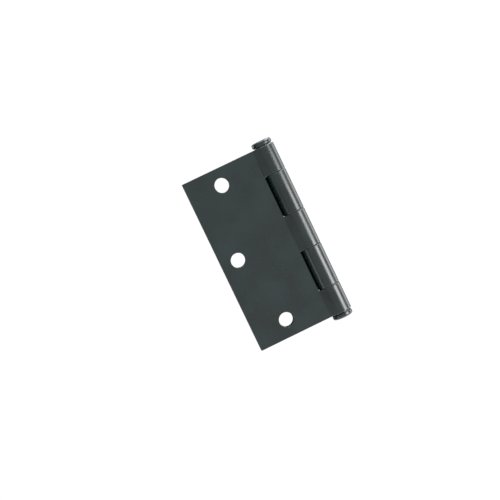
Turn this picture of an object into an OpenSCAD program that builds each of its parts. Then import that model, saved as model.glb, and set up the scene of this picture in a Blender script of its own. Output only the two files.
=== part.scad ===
// Loose-pin butt hinge with square corners and five knuckles, shown closed.
// The pin runs along Z with its head at the top, and the origin is on its axis at half height.
// Both leaves reach towards -X. The jamb leaf is on the -Y side and the door leaf on the +Y side.

/* [Leaves] */
// Height of a leaf, and of the barrel without its tips
leaf_h = 88.9; // [72:0.1:110]
// Distance from the pin's axis to the free edge of a leaf
leaf_w = 43.4; // [36:0.05:56]
// Thickness of the steel strip that the leaves are cut from
leaf_t = 2.2; // [1.8:0.1:2.8]
// Gap between the two leaves when the hinge is closed
closed_gap = 1.7; // [1.2:0.1:2.4]

/* [Barrel] */
// Height of the top knuckle and of the bottom knuckle
end_knuckle_h = 14.0; // [10:0.1:17]
// Height of the middle knuckle
mid_knuckle_h = 18.7; // [12:0.1:24]
// Gap between one knuckle and the next
knuckle_gap = 0.3; // [0.2:0.05:0.6]
// Chamfer round each end of a knuckle
knuckle_chamfer = 0.35; // [0.1:0.05:0.6]
// Gap between a knuckle and the notch that it turns in
notch_clearance = 0.4; // [0.3:0.05:1]
// How far past the barrel the leaf starts to slope up to it
swage_run = 0.8; // [0.6:0.05:2]
// Slit left where the rolled strip meets its own leaf
seam_gap = 0.25; // [0.15:0.05:0.4]

/* [Screw holes] */
// Diameter of a screw hole at the outer face of the leaf
screw_hole_d = 7.3; // [5:0.1:8.8]
// Depth of the straight part of a screw hole
screw_land = 0.6; // [0.4:0.05:1]
// Whole angle of the countersink
countersink_angle = 82; // [80:1:100]
// Distance from the free edge to the end screw holes
end_hole_edge = 17.35; // [14:0.05:22]
// Distance from the top or bottom edge to the end screw holes
end_hole_inset = 8.45; // [7:0.05:12]
// Distance from the free edge to the middle screw hole
mid_hole_edge = 8.75; // [7:0.05:12]

/* [Pin] */
// Diameter of the pin
pin_d = 6.35; // [5:0.05:8]
// Radial clearance between the pin and the knuckles
pin_clearance = 0.05; // [0.02:0.01:0.1]
// Length of the taper at the lower end of the pin
pin_taper_h = 3.0; // [1:0.1:6]
// Diameter of the pin at the end of its taper
pin_end_d = 3.6; // [2:0.1:4.8]
// Gap between the lower end of the pin and the bottom plug
pin_end_gap = 1.5; // [0.5:0.1:4]

/* [Tips] */
// How far the buttons at the barrel's ends are set in from its surface
tip_inset = 0.35; // [0.1:0.05:0.8]
// Height of a button
tip_h = 2.6; // [1.9:0.05:4]
// Radius round the button's outer edge
tip_outer_r = 0.9; // [0.4:0.05:1.2]
// Radius round the button's inner edge
tip_inner_r = 0.75; // [0.3:0.05:0.8]
// How far the button's face domes up in the middle
tip_dome = 0.25; // [0.1:0.05:0.5]
// How far the short neck under a button is set in from the button's edge
neck_inset = 0.8; // [0.3:0.05:1.2]
// Height of the neck
neck_h = 0.4; // [0.2:0.05:0.8]

/* [Bottom plug] */
// Distance from the plug's upper end to the upper end of the bottom knuckle
plug_stop = 6.0; // [1:0.1:7]
// How much larger the plug's radius is than its hole
plug_press = 0.02; // [0.01:0.005:0.04]
// Diameter of the hole through the plug for a punch that drives the pin out
punch_hole_d = 3.2; // [2:0.1:3.6]
// Chamfer at the upper end of the plug
plug_chamfer = 0.5; // [0.2:0.1:0.8]

/* [Hidden] */
$fn = 96;

over = 1;
paint = "#393f3f";

half_h = leaf_h / 2;
bore_r = pin_d / 2 + pin_clearance;
barrel_r = bore_r + leaf_t;
inner_y = closed_gap / 2;
outer_y = inner_y + leaf_t;
notch_x = barrel_r + notch_clearance;

// The swage is a flat slope from the leaf's outer face that meets the barrel just short of a tangent
swage_x = barrel_r + swage_run;
swage_slope = asin(barrel_r / norm([swage_x, outer_y])) - atan2(outer_y, swage_x);
swage_meet = swage_slope + 4;

// Knuckle ends from the top down, where a leaf's own knuckles and its notches take turns
top_joint_z = half_h - end_knuckle_h;
mid_joint_z = mid_knuckle_h / 2;
half_gap = knuckle_gap / 2;
jamb_spans = [
    [top_joint_z + half_gap, half_h],
    [-mid_joint_z + half_gap, mid_joint_z - half_gap],
    [-half_h, -top_joint_z - half_gap],
];
door_spans = [
    [mid_joint_z + half_gap, top_joint_z - half_gap],
    [-top_joint_z + half_gap, -mid_joint_z - half_gap],
];

// Screw holes as x and z, end ones first
end_hole_x = end_hole_edge - leaf_w;
end_hole_z = half_h - end_hole_inset;
screw_holes = [
    [end_hole_x, end_hole_z],
    [end_hole_x, -end_hole_z],
    [mid_hole_edge - leaf_w, 0],
];
countersink_h = leaf_t - screw_land;
countersink_r = screw_hole_d / 2 + countersink_h * tan(countersink_angle / 2);

tip_r = barrel_r - tip_inset;
neck_r = tip_r - neck_inset;
dome_r = (tip_r * tip_r + tip_dome * tip_dome) / (2 * tip_dome);
plug_r = bore_r + plug_press;
plug_depth = end_knuckle_h - plug_stop;
plug_top_z = plug_depth - half_h;
pin_end_z = plug_top_z + pin_end_gap;

// The strip in plan, from the free edge through the swage into the barrel
module strip_outline() {
    polygon([
        [-leaf_w, -outer_y],
        [-swage_x, -outer_y],
        [-barrel_r * sin(swage_meet), -barrel_r * cos(swage_meet)],
        [0, -inner_y],
        [-leaf_w, -inner_y],
    ]);
}

// A solid roll with chamfered ends; the bore is cut later through all knuckles at once
module roll(h) {
    rim_r = barrel_r - knuckle_chamfer;
    rotate_extrude()
        polygon([
            [0, 0],
            [rim_r, 0],
            [barrel_r, knuckle_chamfer],
            [barrel_r, h - knuckle_chamfer],
            [rim_r, h],
            [0, h],
        ]);
}

module knuckle(span) {
    h = span[1] - span[0];
    translate([0, 0, span[0]]) {
        roll(h);
        linear_extrude(h)
            strip_outline();
    }
}

// Slit between the rolled end of the strip and the leaf's inner face
module seam(span) {
    translate([-barrel_r - over, -inner_y, span[0] - over])
        cube([barrel_r + over - bore_r * 0.8, seam_gap, span[1] - span[0] + 2 * over]);
}

module screw_hole() {
    translate([0, -outer_y, 0])
        rotate([-90, 0, 0]) {
            translate([0, 0, -over])
                cylinder(d = screw_hole_d, h = leaf_t + 2 * over);
            translate([0, 0, screw_land])
                cylinder(r1 = screw_hole_d / 2, r2 = countersink_r, h = countersink_h);
            translate([0, 0, leaf_t])
                cylinder(r = countersink_r, h = over);
        }
}

module leaf(spans) {
    difference() {
        union() {
            translate([-leaf_w, -outer_y, -half_h])
                cube([leaf_w - notch_x, leaf_t, leaf_h]);
            for (span = spans)
                knuckle(span);
        }
        translate([0, 0, -half_h - over])
            cylinder(r = bore_r, h = leaf_h + 2 * over);
        for (span = spans)
            seam(span);
        for (hole = screw_holes)
            translate([hole[0], 0, hole[1]])
                screw_hole();
    }
}

// Half section of a button and its neck, standing on the end of the barrel
module tip_section() {
    square([neck_r, neck_h + tip_inner_r]);
    translate([0, neck_h])
        intersection() {
            union() {
                square([tip_r - tip_inner_r, tip_h]);
                translate([0, tip_inner_r])
                    square([tip_r, tip_h - tip_inner_r - tip_outer_r]);
                translate([0, tip_inner_r])
                    square([tip_r - tip_outer_r, tip_h - tip_inner_r]);
                translate([tip_r - tip_inner_r, tip_inner_r])
                    circle(tip_inner_r);
                translate([tip_r - tip_outer_r, tip_h - tip_outer_r])
                    circle(tip_outer_r);
            }
            translate([0, tip_h - dome_r])
                circle(dome_r, $fn = 360);
        }
}

module button() {
    rotate_extrude()
        tip_section();
}

module jamb_leaf() {
    color(paint)
        leaf(jamb_spans);
}

module door_leaf() {
    color(paint)
        mirror([0, 1, 0])
            leaf(door_spans);
}

module hinge_pin() {
    color(paint) {
        translate([0, 0, half_h])
            button();
        translate([0, 0, pin_end_z + pin_taper_h])
            cylinder(d = pin_d, h = half_h - pin_end_z - pin_taper_h);
        translate([0, 0, pin_end_z])
            cylinder(d1 = pin_end_d, d2 = pin_d, h = pin_taper_h);
    }
}

module bottom_plug() {
    color(paint)
        difference() {
            union() {
                translate([0, 0, -half_h])
                    mirror([0, 0, 1])
                        button();
                translate([0, 0, -half_h])
                    cylinder(r = plug_r, h = plug_depth - plug_chamfer);
                translate([0, 0, plug_top_z - plug_chamfer])
                    cylinder(r1 = plug_r, r2 = plug_r - plug_chamfer, h = plug_chamfer);
            }
            translate([0, 0, -half_h - neck_h - tip_h - over])
                cylinder(d = punch_hole_d, h = neck_h + tip_h + plug_depth + 2 * over);
        }
}

jamb_leaf();
door_leaf();
hinge_pin();
bottom_plug();
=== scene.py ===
import math

import bmesh
import bpy
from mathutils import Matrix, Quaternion, Vector


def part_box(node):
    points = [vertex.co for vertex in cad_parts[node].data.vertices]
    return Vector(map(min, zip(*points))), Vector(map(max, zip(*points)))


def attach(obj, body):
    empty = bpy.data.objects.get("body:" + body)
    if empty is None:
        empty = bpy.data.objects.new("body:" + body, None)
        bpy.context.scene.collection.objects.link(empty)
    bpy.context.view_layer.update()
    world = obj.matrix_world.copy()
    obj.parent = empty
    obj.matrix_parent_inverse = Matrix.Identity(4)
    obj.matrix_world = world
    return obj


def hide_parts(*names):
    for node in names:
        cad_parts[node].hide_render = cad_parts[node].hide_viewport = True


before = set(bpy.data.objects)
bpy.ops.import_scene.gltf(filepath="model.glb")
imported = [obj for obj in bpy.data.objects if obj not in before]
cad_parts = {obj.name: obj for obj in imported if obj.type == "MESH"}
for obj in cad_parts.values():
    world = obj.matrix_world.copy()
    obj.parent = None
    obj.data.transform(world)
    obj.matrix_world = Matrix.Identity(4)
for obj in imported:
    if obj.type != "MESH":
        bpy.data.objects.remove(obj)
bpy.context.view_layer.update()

mm = 0.001
meshSet = {
    "sharpAngle": 35,  # edges that turn more than this, in degrees, are rounded
    "smoothAngle": 40,  # edges that turn less than this are shaded smooth
    "weld": 0.001,  # corners closer than this, in mm, are made one
    "near": 0.001,  # how close a corner must be to a drawn point to be picked, in mm
    "facing": 0.9,  # least part of a face's normal along an axis for the face to point that way
}


def say(stage):
    print("butt hinge:", stage)


def hexToLinear(code):
    # sRGB hex to the linear colour that a shader socket takes
    parts = [int(code[i : i + 2], 16) / 255 for i in (1, 3, 5)]
    return [p / 12.92 if p <= 0.04045 else ((p + 0.055) / 1.055) ** 2.4 for p in parts] + [1]


def deselectAll():
    if bpy.context.object and bpy.context.object.mode == "EDIT":
        bpy.ops.object.mode_set(mode="OBJECT")
    bpy.ops.object.select_all(action="DESELECT")


def named(name):
    made = bpy.context.object
    made.name = made.data.name = name
    return made


def applyPlace():
    bpy.ops.object.transform_apply(location=True, rotation=True, scale=True)


def startEdit():
    bpy.ops.object.mode_set(mode="EDIT")


def endEdit():
    bpy.ops.object.mode_set(mode="OBJECT")


def pick(kind, test):
    # selects the corners, edges or faces that pass the test, which gets millimetres
    bpy.ops.mesh.select_mode(type=kind)
    bpy.ops.mesh.select_all(action="DESELECT")
    mesh = bpy.context.edit_object.data
    work = bmesh.from_edit_mesh(mesh)
    if kind == "VERT":
        for vert in work.verts:
            vert.select = test(vert.co / mm)
    elif kind == "EDGE":
        for edge in work.edges:
            edge.select = test(edge.verts[0].co / mm, edge.verts[1].co / mm)
    else:
        for face in work.faces:
            face.select = test(face.calc_center_median() / mm, face.normal)
    work.select_flush_mode()
    bmesh.update_edit_mesh(mesh)


def pull(x, y, z):
    # extrudes what is selected by that many millimetres
    move = {"value": (x * mm, y * mm, z * mm)}
    bpy.ops.mesh.extrude_region_move(TRANSFORM_OT_translate=move)


def spinOn(steps, degrees, centre=(0, 0)):
    # anticlockwise from above, which for this operator is a turn about the downward axis
    place = (centre[0] * mm, centre[1] * mm, 0)
    bpy.ops.mesh.spin(steps=steps, angle=math.radians(degrees), center=place, axis=(0, 0, -1))


def applyModifier(piece, kind, **settings):
    deselectAll()
    piece.select_set(True)
    bpy.context.view_layer.objects.active = piece
    modifier = piece.modifiers.new(kind.title(), kind)
    for key, value in settings.items():
        setattr(modifier, key, value)
    bpy.ops.object.modifier_apply(modifier=modifier.name)


def cutAway(piece, cutters):
    deselectAll()
    for cutter in cutters:
        cutter.select_set(True)
    bpy.context.view_layer.objects.active = cutters[0]
    if len(cutters) > 1:
        bpy.ops.object.join()
    cutter = bpy.context.object
    applyModifier(piece, "BOOLEAN", operation="DIFFERENCE", solver="EXACT", object=cutter)
    bpy.data.objects.remove(cutter)


def weld():
    # makes one closed skin of all that was drawn, with its faces turned outwards
    bpy.ops.mesh.select_all(action="SELECT")
    bpy.ops.mesh.remove_doubles(threshold=meshSet["weld"] * mm)
    bpy.ops.mesh.normals_make_consistent(inside=False)


def smooth(piece):
    # flat faces stay flat and the rounded edges carry the turn
    deselectAll()
    piece.select_set(True)
    bpy.context.view_layer.objects.active = piece
    bpy.ops.object.shade_smooth_by_angle(angle=math.radians(meshSet["smoothAngle"]))
    applyModifier(piece, "WEIGHTED_NORMAL", keep_sharp=True, weight=50)


jambLow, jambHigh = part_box("jamb_leaf")
leafSet = {
    "width": -jambLow.x / mm,  # pin axis to free edge
    "halfHeight": jambHigh.z / mm,
    "barrelRadius": jambHigh.x / mm,
    "thickness": 2.2,
    "innerFace": 0.85,  # half of the gap between the closed leaves
    # pin axis to the cut edge beside the other leaf's knuckles, always past the barrel
    "jambNotchEdge": 5.825,
    "doorNotchEdge": 5.44,
    "swageAngle": 28,
    "swageRadius": 2,
    "swageSteps": 5,
    "curlSteps": 100,
    "seamAngle": 8.7,  # how far past the leaf's side the curl's end reaches
    "edgeRound": 0.15,
    "rimRound": 0.45,
    "roundSteps": 3,
    "rimNear": 0.02,  # how far from the barrel's surface a rim's corners may be
    "levelNear": 0.01,  # how far from level a rim's edge may be
    # lower and upper end of each cut that makes room for the other leaf's knuckles
    "jambNotches": ((9.36, 30.49), (-30.49, -9.36)),
    "doorNotches": ((30.41, 46), (-9.44, 9.44), (-46, -30.41)),
    "notchReach": 2,  # how far the cut reaches past the barrel
}
holeSet = {
    "places": ((-26.05, 36.0), (-26.05, -36.0), (-34.65, 0.0)),
    "radius": 3.65,
    "land": 0.6,
    "sinkAngle": 82,
    "overrun": 0.5,
    "sides": 72,
}


def rollStrip(name):
    # flat steel strip, bent out of line by the swage and then rolled round the pin
    s = leafSet
    outer = s["innerFace"] + s["thickness"]
    turn = math.radians(s["swageAngle"])
    bend, roll = s["swageRadius"], s["barrelRadius"]
    flatEnd = -((roll + bend) - (outer + bend) * math.cos(turn)) / math.sin(turn)
    deselectAll()
    bpy.ops.mesh.primitive_cube_add(
        size=1,
        location=((flatEnd - s["width"]) / 2 * mm, -(outer + s["innerFace"]) / 2 * mm, 0),
        scale=((flatEnd + s["width"]) * mm, s["thickness"] * mm, s["halfHeight"] * 2 * mm),
    )
    strip = named(name)
    applyPlace()
    startEdit()
    pick("FACE", lambda at, normal: normal.x > meshSet["facing"])
    spinOn(s["swageSteps"], -s["swageAngle"], (flatEnd, -outer - bend))
    bendEnd = Vector((flatEnd + bend * math.sin(turn), -outer - bend + bend * math.cos(turn)))
    rollStart = Vector((-roll * math.sin(turn), -roll * math.cos(turn)))
    slope = rollStart - bendEnd
    pull(slope.x, slope.y, 0)
    spinOn(s["curlSteps"], 270 + s["swageAngle"] + s["seamAngle"])
    weld()
    endEdit()
    return strip


def notchCutter(edge, low, high):
    reach = leafSet["barrelRadius"] + leafSet["notchReach"]
    deselectAll()
    bpy.ops.mesh.primitive_cube_add(
        size=1,
        location=((reach - edge) / 2 * mm, 0, (low + high) / 2 * mm),
        scale=((reach + edge) * mm, 2 * reach * mm, (high - low) * mm),
    )
    cutter = named("notchCutter")
    applyPlace()
    return cutter


def holeCutter(x, z):
    # straight for the land, then flared for the screw's head at the inner face
    h, s = holeSet, leafSet
    outer = s["innerFace"] + s["thickness"]
    landEnd = h["land"] - outer
    flare = s["thickness"] - h["land"] + h["overrun"]
    widest = h["radius"] + flare * math.tan(math.radians(h["sinkAngle"] / 2))
    deselectAll()
    bpy.ops.mesh.primitive_cylinder_add(
        vertices=h["sides"],
        radius=h["radius"] * mm,
        depth=(h["land"] + h["overrun"]) * mm,
        location=(x * mm, (landEnd - (h["land"] + h["overrun"]) / 2) * mm, z * mm),
        rotation=(math.radians(90), 0, 0),
    )
    cutter = named("holeCutter")
    applyPlace()
    startEdit()
    pick("FACE", lambda at, normal: normal.y > meshSet["facing"])
    pull(0, flare, 0)
    grow = widest / h["radius"]
    bpy.ops.transform.resize(value=(grow, 1, grow), center_override=(x * mm, 0, z * mm))
    endEdit()
    return cutter


def onRim(a, b):
    # true for an edge that lies level along the barrel's surface
    s = leafSet
    far = max(abs(end.xy.length - s["barrelRadius"]) for end in (a, b))
    return far < s["rimNear"] and abs(a.z - b.z) < s["levelNear"]


def makeLeaf(name, edge, notches, mirrored):
    s = leafSet
    leaf = rollStrip(name)
    cutAway(leaf, [notchCutter(edge, low, high) for low, high in notches])
    cutAway(leaf, [holeCutter(x, z) for x, z in holeSet["places"]])
    deselectAll()
    leaf.select_set(True)
    bpy.context.view_layer.objects.active = leaf
    startEdit()
    if mirrored:
        bpy.ops.mesh.select_all(action="SELECT")
        bpy.ops.transform.resize(value=(1, -1, 1), center_override=(0, 0, 0))
        bpy.ops.mesh.normals_make_consistent(inside=False)
    # knuckle rims get the full rounding and every other sharp edge a smaller one
    small = s["edgeRound"] / s["rimRound"]
    bpy.ops.mesh.select_mode(type="EDGE")
    bpy.ops.mesh.select_all(action="DESELECT")
    bpy.ops.mesh.edges_select_sharp(sharpness=math.radians(meshSet["sharpAngle"]))
    bpy.ops.transform.edge_bevelweight(value=small)
    pick("EDGE", onRim)
    bpy.ops.transform.edge_bevelweight(value=1 - small)
    endEdit()
    applyModifier(
        leaf,
        "BEVEL",
        limit_method="WEIGHT",
        width=s["rimRound"] * mm,
        segments=s["roundSteps"],
        use_clamp_overlap=False,
        miter_outer="MITER_SHARP",
    )
    smooth(leaf)
    return leaf


jambLeaf = makeLeaf("jambLeaf", leafSet["jambNotchEdge"], leafSet["jambNotches"], False)
doorLeaf = makeLeaf("doorLeaf", leafSet["doorNotchEdge"], leafSet["doorNotches"], True)
say("leaves rolled")


pinLow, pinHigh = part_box("hinge_pin")
buttonSet = {
    "seat": leafSet["halfHeight"],
    "top": pinHigh.z / mm,
    "radius": pinHigh.x / mm,
    "neckRadius": 4.275,
    "neckHeight": 0.4,
    "dome": 0.25,
    "domeShares": (0.72, 0.5, 0.25),  # where the dome's corners lie, as shares of the radius
    "lowerRound": 0.75,
    "upperRound": 0.9,
    "roundSteps": 6,
    "turnSteps": 96,
}
pinSet = {
    "radius": 3.175,
    "end": pinLow.z / mm,
    "endRadius": 1.8,
    "taper": 3.0,
    "taperRound": 0.8,
    "endRound": 0.5,
}
plugSet = {
    "radius": 3.245,
    "depth": 8.0,
    "chamfer": 0.5,
    "punchRadius": 1.6,
    "punchRound": 0.3,
}


def buttonLine(inner):
    # half outline of a button, from its neck out and up to the middle of its dome
    b = buttonSet
    under = b["seat"] + b["neckHeight"]
    shoulder = b["top"] - b["dome"]
    line = [(b["neckRadius"], b["seat"]), (b["neckRadius"], under), (b["radius"], under)]
    line.append((b["radius"], shoulder))
    for share in b["domeShares"]:
        out = b["radius"] * share
        if out > inner:
            line.append((out, b["top"] - b["dome"] * share**2))
    line.append((inner, b["top"] - b["dome"] * (inner / b["radius"]) ** 2))
    return line


def isAt(corner, x, z):
    return abs(corner.x - x) + abs(corner.z - z) < meshSet["near"]


def turnOutline(name, line, rounds, closed=False):
    # a single point is drawn out along the outline, the corners are rounded and it is spun
    deselectAll()
    bpy.ops.mesh.primitive_plane_add(size=mm, location=(line[0][0] * mm, 0, line[0][1] * mm))
    piece = named(name)
    applyPlace()
    startEdit()
    bpy.ops.mesh.select_mode(type="VERT")
    bpy.ops.mesh.select_all(action="SELECT")
    bpy.ops.mesh.merge(type="CENTER")
    for (x0, z0), (x1, z1) in zip(line, line[1:]):
        pull(x1 - x0, 0, z1 - z0)
    if closed:
        pick("VERT", lambda p: isAt(p, *line[0]) or isAt(p, *line[-1]))
        bpy.ops.mesh.edge_face_add()
    for (x, z), radius in rounds:
        pick("VERT", lambda p: isAt(p, x, z))
        bpy.ops.mesh.bevel(
            affect="VERTICES",
            offset=radius * mm,
            segments=buttonSet["roundSteps"],
            profile=0.5,  # a true circle
        )
    bpy.ops.mesh.select_all(action="SELECT")
    spinOn(buttonSet["turnSteps"], 360)
    weld()
    endEdit()
    smooth(piece)
    return piece


def makePin():
    p, b = pinSet, buttonSet
    line = [
        (0, p["end"]),
        (p["endRadius"], p["end"]),
        (p["radius"], p["end"] + p["taper"]),
        (p["radius"], b["seat"]),
    ] + buttonLine(0)
    rounds = [
        (line[1], p["endRound"]),
        (line[2], p["taperRound"]),
        (line[6], b["lowerRound"]),
        (line[7], b["upperRound"]),
    ]
    return turnOutline("hingePin", line, rounds)


def makePlug():
    p, b = plugSet, buttonSet
    inside = b["seat"] - p["depth"]
    line = [
        (p["punchRadius"], inside),
        (p["radius"] - p["chamfer"], inside),
        (p["radius"], inside + p["chamfer"]),
        (p["radius"], b["seat"]),
    ] + buttonLine(p["punchRadius"])
    rounds = [
        (line[6], b["lowerRound"]),
        (line[7], b["upperRound"]),
        (line[-1], p["punchRound"]),
    ]
    plug = turnOutline("bottomPlug", line, rounds, closed=True)
    # the outline was drawn head up, so the plug is turned over
    bpy.ops.transform.rotate(value=math.pi, orient_axis="X", center_override=(0, 0, 0))
    applyPlace()
    return plug


hingePin = makePin()
bottomPlug = makePlug()
say("pin and plug turned")


# Baked black enamel over pressed steel: nearly black with a breath of green-blue, a smooth
# half-gloss film that mirrors the room softly, faint long streaks where the rolled strip shows
# through it, and a fine peel from spraying.
enamelSet = {
    "deepColour": "#020E0F",
    "thinColour": "#051617",
    "ior": 1.5,
    "smoothest": 0.25,
    "roughest": 0.32,
    "patch": 14,  # width of a patch where the film is a little thicker, in mm
    "patchDetail": 3,
    "patchColours": (0.35, 0.7),  # thickness at which the film is all deep and all thin colour
    "patchGloss": (0.3, 0.7),  # thickness at which it is smoothest and roughest
    "streak": 1.1,  # width of a faint streak left by rolling, in mm
    "streakShare": 0.06,  # a streak's width as a share of its length
    "streakHeight": 0.0026,
    "streakDetail": 1,
    "peel": 0.6,  # spray peel, drawn coarser than its real tenth of a millimetre so that it shows
    "peelHeight": 0.0005,
    "peelDetail": 2,
    "leafGloss": 1,
    "pinGloss": 0.9,  # turned parts take a slightly smoother film
}


def addNode(tree, kind, settings=(), links=()):
    # sets sockets by name or number and plain settings by attribute, then links sources in
    node = tree.nodes.new(kind)
    for key, value in dict(settings).items():
        if isinstance(key, int) or key in node.inputs:
            node.inputs[key].default_value = value
        else:
            setattr(node, key, value)
    for key, source in dict(links).items():
        tree.links.new(source, node.inputs[key])
    return node


def makeNoise(tree, size, detail, place):
    settings = {"Scale": 1 / (size * mm), "Detail": detail}
    return addNode(tree, "ShaderNodeTexNoise", settings, {"Vector": place}).outputs["Fac"]


def makeEnamel(name, gloss):
    e = enamelSet
    paint = bpy.data.materials.new(name)
    paint.use_nodes = True
    tree = paint.node_tree
    tree.nodes.clear()
    place = addNode(tree, "ShaderNodeTexCoord").outputs["Object"]
    stretch = {"Scale": (1, 1, e["streakShare"])}
    along = addNode(tree, "ShaderNodeMapping", stretch, {"Vector": place}).outputs["Vector"]
    patch = makeNoise(tree, e["patch"], e["patchDetail"], place)
    streak = makeNoise(tree, e["streak"], e["streakDetail"], along)
    peel = makeNoise(tree, e["peel"], e["peelDetail"], place)
    colour = addNode(tree, "ShaderNodeValToRGB", {}, {"Fac": patch})
    for stop, position, code in zip(
        colour.color_ramp.elements, e["patchColours"], (e["deepColour"], e["thinColour"])
    ):
        stop.position = position
        stop.color = hexToLinear(code)
    low, high = e["patchGloss"]
    limits = {
        "From Min": low,
        "From Max": high,
        "To Min": e["smoothest"] * gloss,
        "To Max": e["roughest"] * gloss,
    }
    sheen = addNode(tree, "ShaderNodeMapRange", limits, {"Value": patch})
    rolled = addNode(
        tree,
        "ShaderNodeBump",
        {"Strength": 1, "Distance": e["streakHeight"] * mm},
        {"Height": streak},
    )
    sprayed = addNode(
        tree,
        "ShaderNodeBump",
        {"Strength": 1, "Distance": e["peelHeight"] * mm},
        {"Height": peel, "Normal": rolled.outputs["Normal"]},
    )
    film = addNode(
        tree,
        "ShaderNodeBsdfPrincipled",
        {"IOR": e["ior"], "Metallic": 0},
        {
            "Base Color": colour.outputs["Color"],
            "Roughness": sheen.outputs["Result"],
            "Normal": sprayed.outputs["Normal"],
        },
    )
    addNode(tree, "ShaderNodeOutputMaterial", {}, {"Surface": film.outputs["BSDF"]})
    return paint


leafEnamel = makeEnamel("bakedBlackEnamel", enamelSet["leafGloss"])
pinEnamel = makeEnamel("bakedBlackEnamelTurned", enamelSet["pinGloss"])
for piece, paint, node, body, slot in (
    (jambLeaf, leafEnamel, "jamb_leaf", "jamb_leaf", "leaf_paint"),
    (doorLeaf, leafEnamel, "door_leaf", "door_leaf", "leaf_paint"),
    (hingePin, pinEnamel, "hinge_pin", "hinge_pin", "pin_paint"),
    (bottomPlug, pinEnamel, "bottom_plug", "jamb_leaf", "pin_paint"),
):
    piece.data.materials.clear()
    piece.data.materials.append(paint)
    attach(piece, body)
    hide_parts(node)
say("painted")


studioSet = {
    "wallColour": "#FFFFFF",
    "backdropGlow": 1.02,
    "frontGlow": 0.97,
    "rearGlow": 0.5,
    "lowLeftGlow": 0.5,
    "farLeftGlow": 0.05,
    # where the room's glow starts and ends its change, as parts of a direction's X, Y or Z
    "depthSpan": (-0.4, 0.5),
    "leftSpan": (-0.75, -0.5),
    "lowSpan": (-0.04, 0.02),
    "farLeftSpan": (-0.95, -0.9),
    "floorColour": "#F4F4F2",
    "floorRoughness": 0.9,
    "floorHeight": -0.5,
    "floorSize": 2.4,
    "skylight": 2.2,  # soft light straight down, mostly for the floor
    "skylightSpread": 40,
}
# bearing is from the leaf's face towards the barrel, and rise is above level, both in degrees;
# away and size are in metres, and glow is how bright the box looks
softboxSet = {
    "barrelStrip": {"bearing": 51, "rise": -10.4, "away": 0.8, "size": (0.38, 0.34), "glow": 15},
    "leftFill": {"bearing": -67, "rise": -10, "away": 0.8, "size": (0.14, 0.16), "glow": 5},
    "overhead": {"bearing": 10, "rise": 75, "away": 1.2, "size": (0.9, 0.9), "glow": 2.0},
    "upperRight": {"bearing": 90, "rise": 48, "away": 0.9, "size": (0.9, 0.4), "glow": 18},
    "rearRight": {"bearing": 111, "rise": 2, "away": 0.9, "size": (0.48, 0.7), "glow": 3.9},
    "rearLeft": {"bearing": -130, "rise": 12, "away": 0.9, "size": (0.4, 0.5), "glow": 3},
}


def makeFloor():
    s = studioSet
    deselectAll()
    bpy.ops.mesh.primitive_plane_add(size=s["floorSize"], location=(0, 0, s["floorHeight"]))
    floor = named("floor")
    # uncoated white card, which scatters light evenly and shows no shine
    card = bpy.data.materials.new("mattWhiteCard")
    card.use_nodes = True
    shader = card.node_tree.nodes["Principled BSDF"]
    shader.inputs["Base Color"].default_value = hexToLinear(s["floorColour"])
    shader.inputs["Roughness"].default_value = s["floorRoughness"]
    floor.data.materials.append(card)


def makeSoftbox(name, box):
    bearing, rise = math.radians(box["bearing"]), math.radians(box["rise"])
    out = Vector(
        (math.sin(bearing) * math.cos(rise), -math.cos(bearing) * math.cos(rise), math.sin(rise))
    )
    deselectAll()
    bpy.ops.object.light_add(type="AREA", location=out * box["away"])
    lamp = bpy.context.object
    lamp.name = lamp.data.name = name
    lamp.rotation_mode = "QUATERNION"
    lamp.rotation_quaternion = (-out).to_track_quat("-Z", "Y")
    lamp.data.shape = "RECTANGLE"
    lamp.data.size, lamp.data.size_y = box["size"]
    lamp.data.energy = box["glow"] * math.pi * box["size"][0] * box["size"][1]
    lamp.visible_camera = False


def makeRamp(tree, source, span, first, last):
    # the value goes from first to last as the source goes over the span
    limits = {"From Min": span[0], "From Max": span[1], "To Min": first, "To Max": last}
    return addNode(tree, "ShaderNodeMapRange", limits, {"Value": source}).outputs["Result"]


def makeMath(tree, operation, one, two):
    return addNode(tree, "ShaderNodeMath", {"operation": operation}, {0: one, 1: two}).outputs[0]


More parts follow.
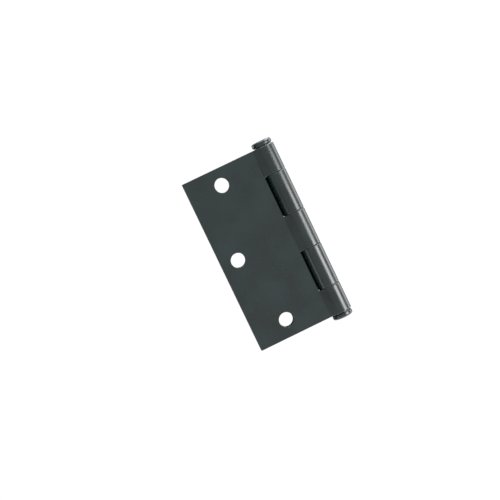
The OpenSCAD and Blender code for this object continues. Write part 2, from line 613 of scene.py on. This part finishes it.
def makeWorld():
    # the backdrop shows pure white, while paint reflects a room that is dimmer behind the hinge,
    # low on the left and dark at the far left
    w = studioSet
    world = bpy.data.worlds.new("whiteRoom")
    world.use_nodes = True
    tree = world.node_tree
    tree.nodes.clear()
    toward = addNode(tree, "ShaderNodeTexCoord").outputs["Generated"]
    part = addNode(tree, "ShaderNodeSeparateXYZ", {}, {"Vector": toward}).outputs
    depth = makeRamp(tree, part["Y"], w["depthSpan"], w["frontGlow"], w["rearGlow"])
    left = makeRamp(tree, part["X"], w["leftSpan"], w["lowLeftGlow"], 1)
    low = makeRamp(tree, part["Z"], w["lowSpan"], 0, 1)
    farLeft = makeRamp(tree, part["X"], w["farLeftSpan"], w["farLeftGlow"], 1)
    side = makeMath(tree, "MULTIPLY", makeMath(tree, "MAXIMUM", left, low), farLeft)
    room = makeMath(tree, "MULTIPLY", depth, side)
    wall = hexToLinear(w["wallColour"])
    lit = addNode(tree, "ShaderNodeBackground", {"Color": wall}, {"Strength": room})
    seen = addNode(tree, "ShaderNodeBackground", {"Color": wall, "Strength": w["backdropGlow"]})
    ray = addNode(tree, "ShaderNodeLightPath").outputs["Is Camera Ray"]
    sources = {0: ray, 1: lit.outputs["Background"], 2: seen.outputs["Background"]}
    mixed = addNode(tree, "ShaderNodeMixShader", {}, sources)
    addNode(tree, "ShaderNodeOutputWorld", {}, {"Surface": mixed.outputs["Shader"]})
    bpy.context.scene.world = world


def makeSkylight():
    deselectAll()
    bpy.ops.object.light_add(type="SUN", location=(0, 0, 1))
    sun = bpy.context.object
    sun.name = sun.data.name = "skylight"
    sun.data.energy = studioSet["skylight"]
    sun.data.angle = math.radians(studioSet["skylightSpread"])


makeFloor()
makeWorld()
makeSkylight()
for name, box in softboxSet.items():
    makeSoftbox(name, box)
bpy.context.scene.view_settings.view_transform = "Standard"

cameraSet = {
    "azimuth": -3.2,
    "elevation": 3.5,
    "distance": 569,
    "aim": (-27.4, -3.05, 2.13),
    "lean": 25.61,  # how far the pin leans to the left of upright, as the camera sees it
    "lens": 85,
    "sensorWidth": 36,
    "nearest": 0.01,
}


def makeCamera():
    c = cameraSet
    azimuth, elevation = math.radians(c["azimuth"]), math.radians(c["elevation"])
    back = Vector(
        (
            math.sin(azimuth) * math.cos(elevation),
            -math.cos(azimuth) * math.cos(elevation),
            math.sin(elevation),
        )
    )
    deselectAll()
    bpy.ops.object.camera_add(location=(Vector(c["aim"]) + back * c["distance"]) * mm)
    camera = bpy.context.object
    camera.data.lens = c["lens"]
    camera.data.sensor_width = c["sensorWidth"]
    camera.data.clip_start = c["nearest"]
    camera.rotation_mode = "QUATERNION"
    level = (-back).to_track_quat("-Z", "Y")
    camera.rotation_quaternion = level @ Quaternion((0, 0, 1), -math.radians(c["lean"]))
    bpy.context.scene.camera = camera


makeCamera()
say("studio set")
